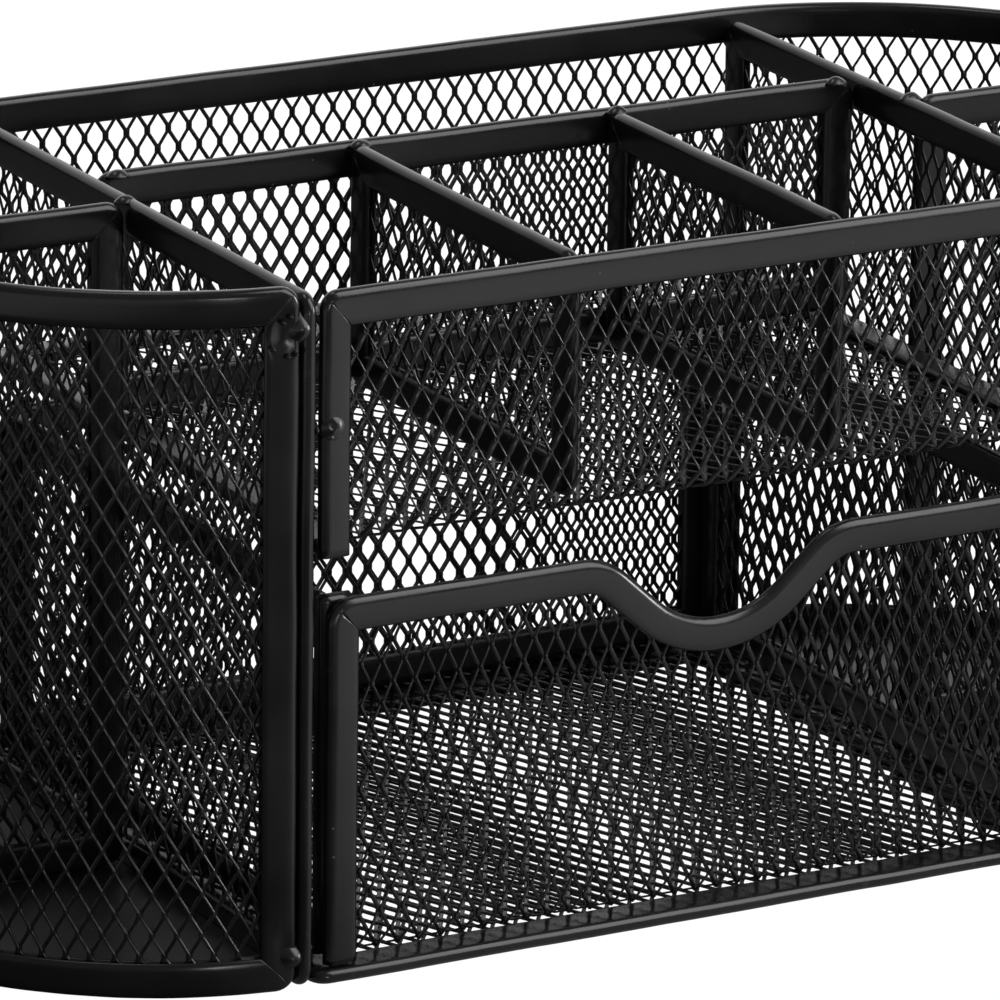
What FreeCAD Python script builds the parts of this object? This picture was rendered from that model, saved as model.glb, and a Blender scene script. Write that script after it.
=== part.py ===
import FreeCAD, Part
import math
import os

# Desk organizer of black wire mesh with a drawer, in millimetres.
# X runs to the right, Y to the back and Z up. The origin is the middle of the footprint.
# Every panel is a sheet of expanded metal whose edges sit in folded, mitred strips.

Vector = FreeCAD.Vector

# Body
overall_width = 222.2       # across the two rounded ends
body_depth = 106.0          # front panels to the outside of the rear wall
body_height = 98.6          # rim of the rounded ends and the rear wall
rim_step = 1.2              # rim above the tops of the panels inside it
bay_width = 124.0           # between the middles of the two partitions
compartment_row_depth = 66.8  # front panels to the middle of the long divider
tray_columns = 3            # compartments side by side over the drawer

# Folded strips and mesh
strip_width = 5.1
strip_thickness = 2.2
fold_bevel = 0.7            # bevel that rounds a strip's folded edge
fold_wall = 1.2             # metal between the folded edge and its slot
corner_radius = 2.8         # outer corner of a framed panel
mitre_seam = 0.12
mesh_thickness = 1.0        # over the twisted strands
mesh_slack = 0.05           # between the mesh and each side of its slot
mesh_edge_slack = 0.2       # between the mesh's edge and the bottom of its slot
bend_radius = 2.6           # inside of the bend from a front panel to its floor
bend_margin = 1.0           # plain mesh beside a bend
plate_thickness = 1.0       # closed bottoms of the rounded ends

# Diamonds of the mesh, drawn much coarser than the real ones of 3.3 by 5.9
diamond_width = 28.5        # at most, as whole diamonds fill each panel
diamond_height = 48.0       # at most
strand_width = 5.4

# Drawer
drawer_height = 54.2        # top edge of the drawer above the ground
drawer_strip_width = 4.7
drawer_corner_radius = 4.0  # upper corners of the drawer's front
drawer_side_gap = 2.4       # drawer to partition, each side
drawer_glide = 0.3          # drawer floor above the base frame
drawer_rear_gap = 1.5       # drawer back to rear wall
drawer_top_gap = 6.3        # drawer's top edge to the underside of the tray
drawer_recess = 0.8         # drawer front behind the front panels
scoop_depth = 11.0          # finger scoop in the drawer's front
scoop_slope = 42.0          # degrees
scoop_bottom_radius = 14.0
scoop_shoulder_radius = 10.0
scoop_shift = 2.0           # middle of the scoop to the right of the drawer's middle

# Joints between panels
weld_gap = 0.1              # between neighbouring frames
tray_side_gap = 0.8         # tray to partition, each side
weld_proud = 0.6            # how far a bead stands out of the front
bead_width = 2.6
bead_length = 4.6
bead_from_end = 5.0         # a bead's middle from the partition's top or bottom edge
spot_width = 2.2
spot_height = 78.5          # spot welds that hold the tray to the partitions

# Directions about the vertical, in degrees from +X
to_rear = 90
to_front = 270

# Cutters
overrun = 1.0               # how far a cutter runs past what it cuts
tolerance = 1e-6

# Places worked out from the sizes above
front = -(body_depth + weld_proud) / 2 + weld_proud
rear = front + body_depth
panel_top = body_height - rim_step
half_width = overall_width / 2
half_depth = body_depth / 2
half_strip = strip_thickness / 2
half_bay = bay_width / 2
bay_face = half_bay - half_strip
partition_outside = half_bay + half_strip
rear_face = rear - strip_thickness
panel_back = front + strip_thickness
end_edge = partition_outside + weld_gap
end_reach = half_width - end_edge
end_radius = (half_depth ** 2 + end_reach ** 2) / (2 * end_reach)  # arc through both edges and the far side
end_centre_x = half_width - end_radius
end_centre_y = front + half_depth
slot_thickness = mesh_thickness + 2 * mesh_slack
mesh_inset = fold_wall + mesh_edge_slack
tray_half = bay_face - tray_side_gap
tray_level = drawer_height + drawer_top_gap + half_strip  # middle of the tray floor's mesh
tray_top_face = tray_level + half_strip
divider_bottom = tray_top_face + weld_gap
long_divider_y = front + compartment_row_depth
drawer_half = bay_face - drawer_side_gap
drawer_bottom = strip_thickness + drawer_glide
drawer_floor = drawer_bottom + mesh_thickness / 2
drawer_front_y = front + drawer_recess
drawer_front_back = drawer_front_y + strip_thickness
drawer_rear = rear_face - drawer_rear_gap

os.makedirs("parts", exist_ok=True)


def save(name, shape):
    """Writes one node."""
    shape.exportStep("parts/" + name + ".step")


def mirrored(shape):
    """The same piece on the other side of the body."""
    return shape.mirror(Vector(0, 0, 0), Vector(1, 0, 0))


def save_pair(name, left_shape):
    """Writes a left piece and its mirror image."""
    save("left_" + name, left_shape)
    save("right_" + name, mirrored(left_shape))


def rectangle(u0, v0, u1, v1, bottom_radius=0.0, top_radius=0.0):
    """Corners (u, v, radius) of an upright rectangle, from its lower left corner."""
    return [(u0, v0, bottom_radius), (u1, v0, bottom_radius), (u1, v1, top_radius), (u0, v1, top_radius)]


def bevelled(u0, v0, u1, v1):
    """Corners of an upright rectangle whose two top corners are bevelled as a folded edge is."""
    return [
        (u0, v0, 0.0),
        (u1, v0, 0.0),
        (u1, v1 - fold_bevel, 0.0),
        (u1 - fold_bevel, v1, 0.0),
        (u0 + fold_bevel, v1, 0.0),
        (u0, v1 - fold_bevel, 0.0),
    ]


def inset(corners, distances):
    """Moves each side of an outline inwards by its own distance, and fits the corner radii to it."""
    count = len(corners)
    moved = []
    for i in range(count):
        before, here, after = (Vector(*corners[j % count][:2], 0) for j in (i - 1, i, i + 1))
        into, out = (here - before).normalize(), (after - here).normalize()
        d_into, d_out = distances[i - 1], distances[i]
        turn = into.x * out.y - into.y * out.x
        base_into = here + Vector(-into.y, into.x, 0) * d_into
        base_out = here + Vector(-out.y, out.x, 0) * d_out
        gap = base_out - base_into
        along = (gap.x * out.y - gap.y * out.x) / turn
        point = base_into + into * along
        radius = corners[i][2]
        if radius > 0:
            distance = max(d_into, d_out)
            radius = max(radius - distance, 0.0) if turn > 0 else radius + distance
        moved.append((point.x, point.y, radius))
    return moved


def upright_points(corners, i):
    """One corner of an outline in the XZ plane, between the corners before and after it."""
    count = len(corners)
    return [Vector(corners[j % count][0], 0, corners[j % count][1]) for j in (i - 1, i, i + 1)]


def outline(corners):
    """Closed wire in the XZ plane through corners (u, v, radius), rounded where the radius isn't 0."""
    count = len(corners)
    arcs = []
    for i in range(count):
        before, here, after = upright_points(corners, i)
        radius = corners[i][2]
        back, ahead = (before - here).normalize(), (after - here).normalize()
        half_angle = back.getAngle(ahead) / 2
        reach = radius / math.tan(half_angle) if radius > 0 else 0.0
        start, end = here + back * reach, here + ahead * reach
        bisector = (back + ahead).normalize()
        middle = here + bisector * (radius / math.sin(half_angle) - radius)
        arcs.append((start, middle, end, radius))
    edges = []
    for i in range(count):
        start, middle, end, radius = arcs[i]
        if radius > 0:
            edges.append(Part.Arc(start, middle, end).toShape())
        following = arcs[(i + 1) % count][0]
        if end.distanceToPoint(following) > tolerance:
            edges.append(Part.LineSegment(end, following).toShape())
    return Part.Wire(edges)


def slab(corners, thickness):
    """Flat plate of an outline, standing in the XZ plane with its middle at Y 0."""
    plate = Part.Face(outline(corners)).extrude(Vector(0, thickness, 0))
    plate.translate(Vector(0, -thickness / 2, 0))
    return plate


def seat(corners, distances):
    """Outline of what sits inside the strips: moved inwards, with its square corners left sharp."""
    moved = enumerate(inset(corners, distances))
    return [(u, v, 0.0 if is_square(corners, i) else radius) for i, (u, v, radius) in moved]


def folded_frame(corners, open_side=None, width=strip_width):
    """Strips folded over a panel's edge: bevelled outside, slotted inside and mitred at the corners.

    open_side is the number of a side that has no strip.
    """
    count = len(corners)

    def distances(value):
        return [-width if i == open_side else value for i in range(count)]

    window = inset(corners, distances(width))
    frame = slab(corners, strip_thickness).cut(slab(window, 2 * strip_thickness))
    folded = [edge for edge in frame.Edges if is_fold(edge, corners, open_side)]
    frame = frame.makeChamfer(fold_bevel, folded)
    frame = frame.cut(slab(seat(corners, distances(fold_wall)), slot_thickness))
    for i in range(count):
        if open_side is None or i not in (open_side, (open_side + 1) % count):
            if is_square(corners, i):
                frame = frame.cut(mitre(corners, i))
    return Part.makeCompound(frame.Solids)


def is_square(corners, i):
    """True at a corner where two strips meet at about a right angle."""
    before, here, after = upright_points(corners, i)
    return abs((here - before).getAngle(after - here) - math.pi / 2) < 0.01


def is_fold(edge, corners, open_side):
    """True for an edge of the flat frame that becomes the folded edge of a strip."""
    middle = edge.valueAt((edge.FirstParameter + edge.LastParameter) / 2)
    if abs(abs(middle.y) - half_strip) > tolerance:
        return False
    on_plane = Part.Vertex(middle.x, 0, middle.z)
    if outline(corners).distToShape(on_plane)[0] > tolerance:
        return False
    if open_side is None:
        return True
    start, end = corners[open_side], corners[(open_side + 1) % len(corners)]
    side = Part.LineSegment(Vector(start[0], 0, start[1]), Vector(end[0], 0, end[1])).toShape()
    return side.distToShape(on_plane)[0] > tolerance


def mitre(corners, i):
    """Thin cutter along the diagonal seam at one corner."""
    before, here, after = upright_points(corners, i)
    diagonal = ((before - here).normalize() + (after - here).normalize()).normalize()
    reach = 2 * strip_width
    corner = Vector(0, -strip_thickness, -mitre_seam / 2)
    cutter = Part.makeBox(reach, 2 * strip_thickness, mitre_seam, corner)
    angle = -math.degrees(math.atan2(diagonal.z, diagonal.x))
    cutter.rotate(Vector(0, 0, 0), Vector(0, 1, 0), angle)
    cutter.translate(here)
    return cutter


def mesh_sheet(corners, open_side=None, width=strip_width):
    """Sheet of the mesh, seated in the slots of its strips and open between them."""
    sides = range(len(corners))
    sheet = slab(seat(corners, [0.0 if i == open_side else mesh_inset for i in sides]), mesh_thickness)
    return perforated(sheet, inset(corners, [width for i in sides]))


def perforated(sheet, window):
    """Cuts the diamonds inside a window in a flat sheet."""
    across, up = [corner[0] for corner in window], [corner[1] for corner in window]
    faces = [Part.Face(outline(corners)) for corners in diamonds(min(across), min(up), max(across), max(up))]
    cutter = Part.makeCompound(faces).common(Part.Face(outline(window)))
    cutter.translate(Vector(0, -strip_thickness, 0))
    return sheet.cut(cutter.extrude(Vector(0, 2 * strip_thickness, 0)))


def diamonds(u0, v0, u1, v1):
    """Corners of the diamonds that fill a rectangle, cut in half along its sides."""
    columns = math.ceil((u1 - u0) / diamond_width)
    rows = math.ceil((v1 - v0) / diamond_height)
    half_u, half_v = (u1 - u0) / columns / 2, (v1 - v0) / rows / 2
    to_strand = half_u * half_v / math.hypot(half_u, half_v)
    open_share = 1 - strand_width / 2 / to_strand
    hole_u, hole_v = half_u * open_share, half_v * open_share
    found = []
    for row in range(2 * rows + 1):
        for column in range(2 * columns + 1):
            u, v = u0 + column * half_u, v0 + row * half_v
            points = [(u - hole_u, v), (u, v - hole_v), (u + hole_u, v), (u, v + hole_v)]
            inside = [(a, b, 0.0) for a, b in points if u0 < a + tolerance and a < u1 + tolerance
                      and v0 < b + tolerance and b < v1 + tolerance]
            if (row + column) % 2 == 0 and len(inside) > 2:
                found.append(inside)
    return found


def to_floor(sheet_middle, floor_middle, half_length):
    """Quarter bend of the mesh from an upright front sheet back to its floor sheet."""
    inner, outer = bend_radius, bend_radius + mesh_thickness
    centre_y = sheet_middle + mesh_thickness / 2 + bend_radius
    centre_z = floor_middle + mesh_thickness / 2 + bend_radius
    profile = Part.Face(Part.makePolygon([
        Vector(-half_length, -outer, 0),
        Vector(half_length, -outer, 0),
        Vector(half_length, -inner, 0),
        Vector(-half_length, -inner, 0),
        Vector(-half_length, -outer, 0),
    ]))
    bend = profile.revolve(Vector(0, 0, 0), Vector(1, 0, 0), 90)
    bend.translate(Vector(0, centre_y, centre_z))
    return bend, centre_y, centre_z


def facing_front(shape, y):
    """Places a panel across the body with its middle at y."""
    placed = shape.copy()
    placed.translate(Vector(0, y, 0))
    return placed


def facing_side(shape, x):
    """Turns a panel to run from front to back, u becoming Y, with its middle at x."""
    placed = shape.copy()
    placed.rotate(Vector(0, 0, 0), Vector(0, 0, 1), 90)
    placed.translate(Vector(x, 0, 0))
    return placed


def lying(shape, z):
    """Lays a panel flat, v becoming Y, with its middle at z."""
    placed = shape.copy()
    placed.rotate(Vector(0, 0, 0), Vector(1, 0, 0), -90)
    placed.translate(Vector(0, 0, z))
    return placed


def strip_profile():
    """Section of a folded strip, hanging down from its folded edge at the origin."""
    section = bevelled(-half_strip, -strip_width, half_strip, 0)
    slot = rectangle(-slot_thickness / 2, -strip_width - overrun, slot_thickness / 2, -fold_wall)
    return Part.Face(outline(section)).cut(Part.Face(outline(slot)))


def straight_strip(length):
    """Strip along X with its folded edge up, its middle at the origin."""
    strip = strip_profile().extrude(Vector(0, length, 0))
    strip.translate(Vector(0, -length / 2, 0))
    strip.rotate(Vector(0, 0, 0), Vector(0, 0, 1), 90)
    return strip


def swept(face, start, end):
    """Sweeps an upright section, drawn about the middle of the wall, round the left end."""
    profile = face.copy()
    profile.translate(Vector(end_radius - half_strip, 0, 0))
    profile.rotate(Vector(0, 0, 0), Vector(0, 0, 1), start)
    band = profile.revolve(Vector(0, 0, 0), Vector(0, 0, 1), end - start)
    band.translate(Vector(-end_centre_x, end_centre_y, 0))
    return band


def end_panel():
    """Mesh and frame of the left end, from the rear wall round to the front edge."""
    inner_radius = end_radius - strip_thickness
    cut_off = math.degrees(math.asin((end_edge - end_centre_x) / inner_radius))
    rear_angle, front_angle = to_rear + cut_off, to_front - cut_off
    per_mm = math.degrees(1 / (end_radius - half_strip))
    upright_angle = front_angle - strip_width * per_mm

    top = swept(lifted(strip_profile(), body_height), rear_angle, front_angle)
    upright = swept(section(strip_thickness, 0, body_height), upright_angle, front_angle)
    fold = [edge for edge in upright.Edges if is_front_edge(edge, front_angle)]
    upright = upright.makeChamfer(fold_bevel, fold)
    slot = section(slot_thickness, -overrun, body_height + overrun)
    upright = upright.cut(swept(slot, upright_angle - overrun * per_mm, front_angle - fold_wall * per_mm))

    edge_x = -end_centre_x + end_radius * math.cos(math.radians(front_angle))
    top = top.cut(corner_wedge(edge_x, below=True)).cut(corner_rounding(edge_x))
    upright = upright.cut(corner_wedge(edge_x, below=False)).cut(corner_rounding(edge_x))
    upright = flipped(flipped(upright).cut(corner_wedge(edge_x, below=False)).cut(corner_rounding(edge_x)))
    frame = Part.makeCompound([top, flipped(top), upright])

    sheet = section(mesh_thickness, mesh_inset, body_height - mesh_inset)
    mesh = swept(sheet, rear_angle, front_angle - mesh_inset * per_mm)
    first, last = (rear_angle - to_front) / per_mm, (upright_angle - to_front) / per_mm
    window = diamonds(first, strip_width, last, body_height - strip_width)
    return mesh.cut([round_the_end(corners, per_mm) for corners in window]), frame


def round_the_end(corners, per_mm):
    """Cutter of one diamond in the left end, from corners (distance round the wall, height)."""
    middle = (min(corner[0] for corner in corners) + max(corner[0] for corner in corners)) / 2
    cutter = slab([(u - middle, v, radius) for u, v, radius in corners], 3 * strip_thickness)
    cutter.translate(Vector(0, half_strip - end_radius, 0))
    cutter.rotate(Vector(0, 0, 0), Vector(0, 0, 1), middle * per_mm)
    cutter.translate(Vector(-end_centre_x, end_centre_y, 0))
    return cutter


def section(thickness, z0, z1):
    """Upright section of a plain wall about its middle."""
    return Part.Face(outline(rectangle(-thickness / 2, z0, thickness / 2, z1)))


def lifted(shape, z):
    """Moves a copy of a piece up."""
    placed = shape.copy()
    placed.translate(Vector(0, 0, z))
    return placed


def flipped(shape):
    """Turns a piece of the wall upside down about its middle height."""
    return shape.mirror(Vector(0, 0, body_height / 2), Vector(0, 0, 1))


def is_front_edge(edge, front_angle):
    """True for the two upright edges where the end panel meets the partition."""
    low, high = (vertex.Point for vertex in (edge.Vertexes[0], edge.Vertexes[-1]))
    if abs(low.z - high.z) < body_height / 2:
        return False
    angle = math.degrees(math.atan2(low.y - end_centre_y, low.x + end_centre_x)) % 360
    return abs(angle - front_angle) < 0.01


def corner_tool(points, arc=None):
    """Prism through the front of the end wall from points (x, z)."""
    edges = [Part.LineSegment(a, b).toShape() for a, b in zip(points, points[1:])]
    face = Part.Face(Part.Wire(edges if arc is None else edges + [arc]))
    reach = end_radius / 3
    tool = face.extrude(Vector(0, reach, 0))
    tool.translate(Vector(0, front - strip_thickness, 0))
    return tool


def corner_wedge(edge_x, below):
    """Cutter on one side of the diagonal seam at the end panel's upper front corner."""
    reach = 3 * strip_width
    seam = mitre_seam / 2 * math.sqrt(2)
    outside, inside = edge_x + reach, edge_x - reach
    shift = -seam if below else seam
    start = Vector(outside, 0, body_height + reach - shift)
    end = Vector(inside, 0, body_height - reach - shift)
    if below:
        third = Vector(outside, 0, body_height - reach)
    else:
        third = Vector(inside, 0, body_height + reach)
    return corner_tool([start, end, third, start])


def corner_rounding(edge_x):
    """Cutter that rounds the end panel's upper front corner."""
    x, z = edge_x - corner_radius, body_height - corner_radius
    spread = corner_radius / math.sqrt(2)
    outer = corner_radius + overrun
    middle = Vector(x + spread, 0, z + spread)
    arc = Part.Arc(Vector(x, 0, body_height), middle, Vector(edge_x, 0, z)).toShape()
    points = [
        Vector(edge_x, 0, z),
        Vector(x + outer, 0, z),
        Vector(x + outer, 0, z + outer),
        Vector(x, 0, z + outer),
        Vector(x, 0, body_height),
    ]
    return corner_tool(points, arc)


# Outer wall: one straight rear panel and two rounded ends
rear_middle = rear - half_strip
rear_top = lifted(straight_strip(2 * end_edge), body_height)
rear_sheet = slab(rectangle(-end_edge, mesh_inset, end_edge, body_height - mesh_inset), mesh_thickness)
rear_window = rectangle(-end_edge, strip_width, end_edge, body_height - strip_width)
save("rear_wall_mesh", facing_front(perforated(rear_sheet, rear_window), rear_middle))
save("rear_wall_frame", facing_front(Part.makeCompound([rear_top, flipped(rear_top)]), rear_middle))
end_mesh, end_frame = end_panel()
save_pair("end_mesh", end_mesh)
save_pair("end_frame", end_frame)

# Partitions between the rounded ends and the middle bay
partition = rectangle(front, 0, rear_face - weld_gap, panel_top, corner_radius, corner_radius)
save_pair("partition_mesh", facing_side(mesh_sheet(partition), -half_bay))
save_pair("partition_frame", facing_side(folded_frame(partition), -half_bay))

# Rounded ends: a closed bottom and a divider across the middle
plate_bottom = half_strip - plate_thickness / 2
plate_radius = end_radius - strip_thickness - weld_gap
plate_reach = math.sqrt(plate_radius ** 2 - (end_edge - end_centre_x) ** 2)
plate_front = Vector(-end_edge, end_centre_y - plate_reach, plate_bottom)
plate_rear = Vector(-end_edge, end_centre_y + plate_reach, plate_bottom)
plate_side = Vector(-end_centre_x - plate_radius, end_centre_y, plate_bottom)
plate_edges = [Part.Arc(plate_front, plate_side, plate_rear), Part.LineSegment(plate_rear, plate_front)]
plate = Part.Face(Part.Wire([edge.toShape() for edge in plate_edges]))
save_pair("end_bottom", plate.extrude(Vector(0, 0, plate_thickness)))
end_divider = rectangle(
    -half_width + strip_thickness + weld_gap,
    plate_bottom + plate_thickness + weld_gap,
    -partition_outside - weld_gap,
    panel_top,
    corner_radius,
    corner_radius,
)
save_pair("end_divider_mesh", facing_front(mesh_sheet(end_divider), end_centre_y))
save_pair("end_divider_frame", facing_front(folded_frame(end_divider), end_centre_y))

# Tray over the drawer: its mesh comes down the front and bends back into the floor
tray_front = rectangle(-tray_half, tray_level - half_strip, tray_half, panel_top, 0.0, corner_radius)
tray_middle = front + half_strip
tray_bend, tray_bend_y, tray_bend_z = to_floor(tray_middle, tray_level, tray_half - strip_width - weld_gap)
sheet_half, window_half = tray_half - mesh_inset, tray_half - strip_width
tray_sheet = perforated(
    slab(rectangle(-sheet_half, tray_bend_z, sheet_half, panel_top - mesh_inset), mesh_thickness),
    rectangle(-window_half, tray_bend_z + bend_margin, window_half, panel_top - strip_width),
)
save("tray_front_mesh", facing_front(tray_sheet, tray_middle).fuse(tray_bend))
save("tray_front_frame", facing_front(folded_frame(tray_front, open_side=0), tray_middle))
tray_rear = rear_face - weld_gap
tray_floor = rectangle(-tray_half, panel_back + weld_gap, tray_half, tray_rear, 0.0, corner_radius)
floor_sheet = perforated(
    slab(rectangle(-sheet_half, tray_bend_y, sheet_half, tray_rear - mesh_inset), mesh_thickness),
    rectangle(-window_half, tray_bend_y + bend_margin, window_half, tray_rear - strip_width),
)
save("tray_floor_mesh", lying(floor_sheet, tray_level))
save("tray_floor_frame", lying(folded_frame(tray_floor, open_side=0), tray_level))

# Dividers that stand on the tray
divider_end = bay_face - weld_gap
long_divider = rectangle(-divider_end, divider_bottom, divider_end, panel_top, corner_radius, corner_radius)
save("long_divider_mesh", facing_front(mesh_sheet(long_divider), long_divider_y))
save("long_divider_frame", facing_front(folded_frame(long_divider), long_divider_y))
divider_front, divider_rear = panel_back + weld_gap, long_divider_y - half_strip - weld_gap
tray_divider = rectangle(divider_front, divider_bottom, divider_rear, panel_top, corner_radius, corner_radius)
divider_mesh, divider_frame = mesh_sheet(tray_divider), folded_frame(tray_divider)
for number in range(1, tray_columns):
    divider_x = -half_bay + number * bay_width / tray_columns
    save("tray_divider_" + str(number) + "_mesh", facing_side(divider_mesh, divider_x))
    save("tray_divider_" + str(number) + "_frame", facing_side(divider_frame, divider_x))

# Base of the middle bay, which the drawer slides on
base = rectangle(-divider_end, front, divider_end, rear_face - weld_gap, corner_radius, corner_radius)
save("base_mesh", lying(mesh_sheet(base), half_strip))
save("base_frame", lying(folded_frame(base), half_strip))

# Drawer front: the top strip dips in a finger scoop, and the mesh bends back into the floor
scoop_angle = math.radians(scoop_slope)
scoop_apex = scoop_depth + scoop_bottom_radius * (1 / math.cos(scoop_angle) - 1)
scoop_half = scoop_apex / math.tan(scoop_angle)
drawer_front = [
    (-drawer_half, drawer_bottom, 0.0),
    (drawer_half, drawer_bottom, 0.0),
    (drawer_half, drawer_height, drawer_corner_radius),
    (scoop_shift + scoop_half, drawer_height, scoop_shoulder_radius),
    (scoop_shift, drawer_height - scoop_apex, scoop_bottom_radius),
    (scoop_shift - scoop_half, drawer_height, scoop_shoulder_radius),
    (-drawer_half, drawer_height, drawer_corner_radius),
]
drawer_middle = drawer_front_y + half_strip
drawer_bend, drawer_bend_y, drawer_bend_z = to_floor(
    drawer_middle, drawer_floor, drawer_half - drawer_strip_width - weld_gap
)
above_bend = [(u, max(v, drawer_bend_z), radius) for u, v, radius in drawer_front]
drawer_sheet = facing_front(mesh_sheet(above_bend, 0, drawer_strip_width), drawer_middle)
save("drawer_front_mesh", drawer_sheet.fuse(drawer_bend))
drawer_frame = folded_frame(drawer_front, 0, drawer_strip_width)
save("drawer_front_frame", facing_front(drawer_frame, drawer_middle))
floor_half = drawer_half - mesh_edge_slack
inside_half, inside_rear = drawer_half - strip_thickness, drawer_rear - strip_thickness
drawer_floor_sheet = perforated(
    slab(rectangle(-floor_half, drawer_bend_y, floor_half, drawer_rear), mesh_thickness),
    rectangle(-inside_half, drawer_bend_y + bend_margin, inside_half, inside_rear),
)
save("drawer_floor_mesh", lying(drawer_floor_sheet, drawer_floor))

# Drawer sides and back, which stand on its floor. Each side turns in behind the front.
wall_bottom = drawer_floor + mesh_thickness / 2 + weld_gap
return_middle = drawer_front_back + weld_gap + half_strip
corner_return = bevelled(-drawer_half, wall_bottom, -drawer_half + drawer_strip_width, drawer_height)
save_pair("drawer_corner_return", facing_front(slab(corner_return, strip_thickness), return_middle))
side_front = return_middle + half_strip + weld_gap
side_rear = drawer_rear - strip_thickness - weld_gap
drawer_side = rectangle(side_front, wall_bottom, side_rear, drawer_height, corner_radius, corner_radius)
side_mesh = mesh_sheet(drawer_side, width=drawer_strip_width)
side_frame = folded_frame(drawer_side, width=drawer_strip_width)
save_pair("drawer_side_mesh", facing_side(side_mesh, -drawer_half + half_strip))
save_pair("drawer_side_frame", facing_side(side_frame, -drawer_half + half_strip))
drawer_back = rectangle(-drawer_half, wall_bottom, drawer_half, drawer_height, corner_radius, corner_radius)
back_mesh = mesh_sheet(drawer_back, width=drawer_strip_width)
back_frame = folded_frame(drawer_back, width=drawer_strip_width)
save("drawer_back_mesh", facing_front(back_mesh, drawer_rear - half_strip))
save("drawer_back_frame", facing_front(back_frame, drawer_rear - half_strip))


def weld_cap(x, z, width, length):
    """Low domed bead on the front face, its length upright."""
    dome_radius = (width ** 2 / 4 + weld_proud ** 2) / (2 * weld_proud)
    sunk = dome_radius - weld_proud
    base_latitude = math.degrees(math.asin(sunk / dome_radius))
    dome = Part.makeSphere(dome_radius, Vector(0, sunk, 0), Vector(0, -1, 0), base_latitude, 90)
    stretch = FreeCAD.Matrix()
    stretch.scale(1, 1, length / width)
    cap = dome.transformGeometry(stretch)
    cap.translate(Vector(x, front, z))
    return cap


# Welds that show on the front
bead_x = -end_edge + weld_gap / 2
beads = [weld_cap(bead_x, z, bead_width, bead_length) for z in (bead_from_end, panel_top - bead_from_end)]
save("weld_beads", Part.makeCompound(beads + [mirrored(bead) for bead in beads]))
spot = weld_cap(-tray_half + fold_wall + spot_width / 4, spot_height, spot_width, spot_width)
save("spot_welds", Part.makeCompound([spot, mirrored(spot)]))
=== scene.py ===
import math
import bpy
import numpy as np
from mathutils import Matrix, Vector, noise


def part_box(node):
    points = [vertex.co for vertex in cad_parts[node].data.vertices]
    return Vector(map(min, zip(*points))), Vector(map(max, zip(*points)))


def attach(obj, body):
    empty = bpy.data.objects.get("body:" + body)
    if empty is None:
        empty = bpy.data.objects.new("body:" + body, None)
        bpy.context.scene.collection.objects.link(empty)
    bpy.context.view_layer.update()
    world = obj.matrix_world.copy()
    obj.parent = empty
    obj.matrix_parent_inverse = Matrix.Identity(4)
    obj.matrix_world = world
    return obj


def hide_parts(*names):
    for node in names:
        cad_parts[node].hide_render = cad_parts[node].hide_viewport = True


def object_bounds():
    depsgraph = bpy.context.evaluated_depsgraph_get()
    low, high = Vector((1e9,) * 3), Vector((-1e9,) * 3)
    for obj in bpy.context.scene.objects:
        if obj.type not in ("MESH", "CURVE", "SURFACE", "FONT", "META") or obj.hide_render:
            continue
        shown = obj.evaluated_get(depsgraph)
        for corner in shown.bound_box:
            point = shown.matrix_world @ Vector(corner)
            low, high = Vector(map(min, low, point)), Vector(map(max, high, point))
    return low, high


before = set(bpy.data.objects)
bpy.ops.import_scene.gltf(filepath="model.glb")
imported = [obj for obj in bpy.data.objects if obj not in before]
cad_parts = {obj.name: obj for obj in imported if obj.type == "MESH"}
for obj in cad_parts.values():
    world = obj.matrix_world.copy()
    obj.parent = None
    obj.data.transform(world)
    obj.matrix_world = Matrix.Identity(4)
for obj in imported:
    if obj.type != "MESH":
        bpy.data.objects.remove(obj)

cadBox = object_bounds()
mm = 0.001
waveSeed = 5
noise.seed_set(waveSeed)  # otherwise the strips' waves would differ from run to run
print("frame loaded:", len(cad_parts), "nodes")


def newGroup(name, inputs, outputs):
    group = bpy.data.node_groups.new(name, "ShaderNodeTree")
    for label, kind, value in inputs:
        group.interface.new_socket(label, in_out="INPUT", socket_type=kind).default_value = value
    for label, kind in outputs:
        group.interface.new_socket(label, in_out="OUTPUT", socket_type=kind)
    start = group.nodes.new("NodeGroupInput")
    end = group.nodes.new("NodeGroupOutput")
    return group, start, end


# links takes a socket or a plain value for each input
def addNode(tree, kind, links=None, **settings):
    node = tree.nodes.new(kind)
    for key, value in settings.items():
        setattr(node, key, value)
    for socket, source in (links or {}).items():
        if hasattr(source, "is_output"):
            tree.links.new(source, node.inputs[socket])
        else:
            node.inputs[socket].default_value = source
    return node


def mathNode(tree, operation, a, b=None, clamp=False):
    links = {0: a} if b is None else {0: a, 1: b}
    return addNode(tree, "ShaderNodeMath", links, operation=operation, use_clamp=clamp).outputs[0]


def rampNode(tree, value, low, high):
    links = {"Value": value, "From Min": low, "From Max": high}
    return addNode(tree, "ShaderNodeMapRange", links, clamp=True).outputs["Result"]


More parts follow.
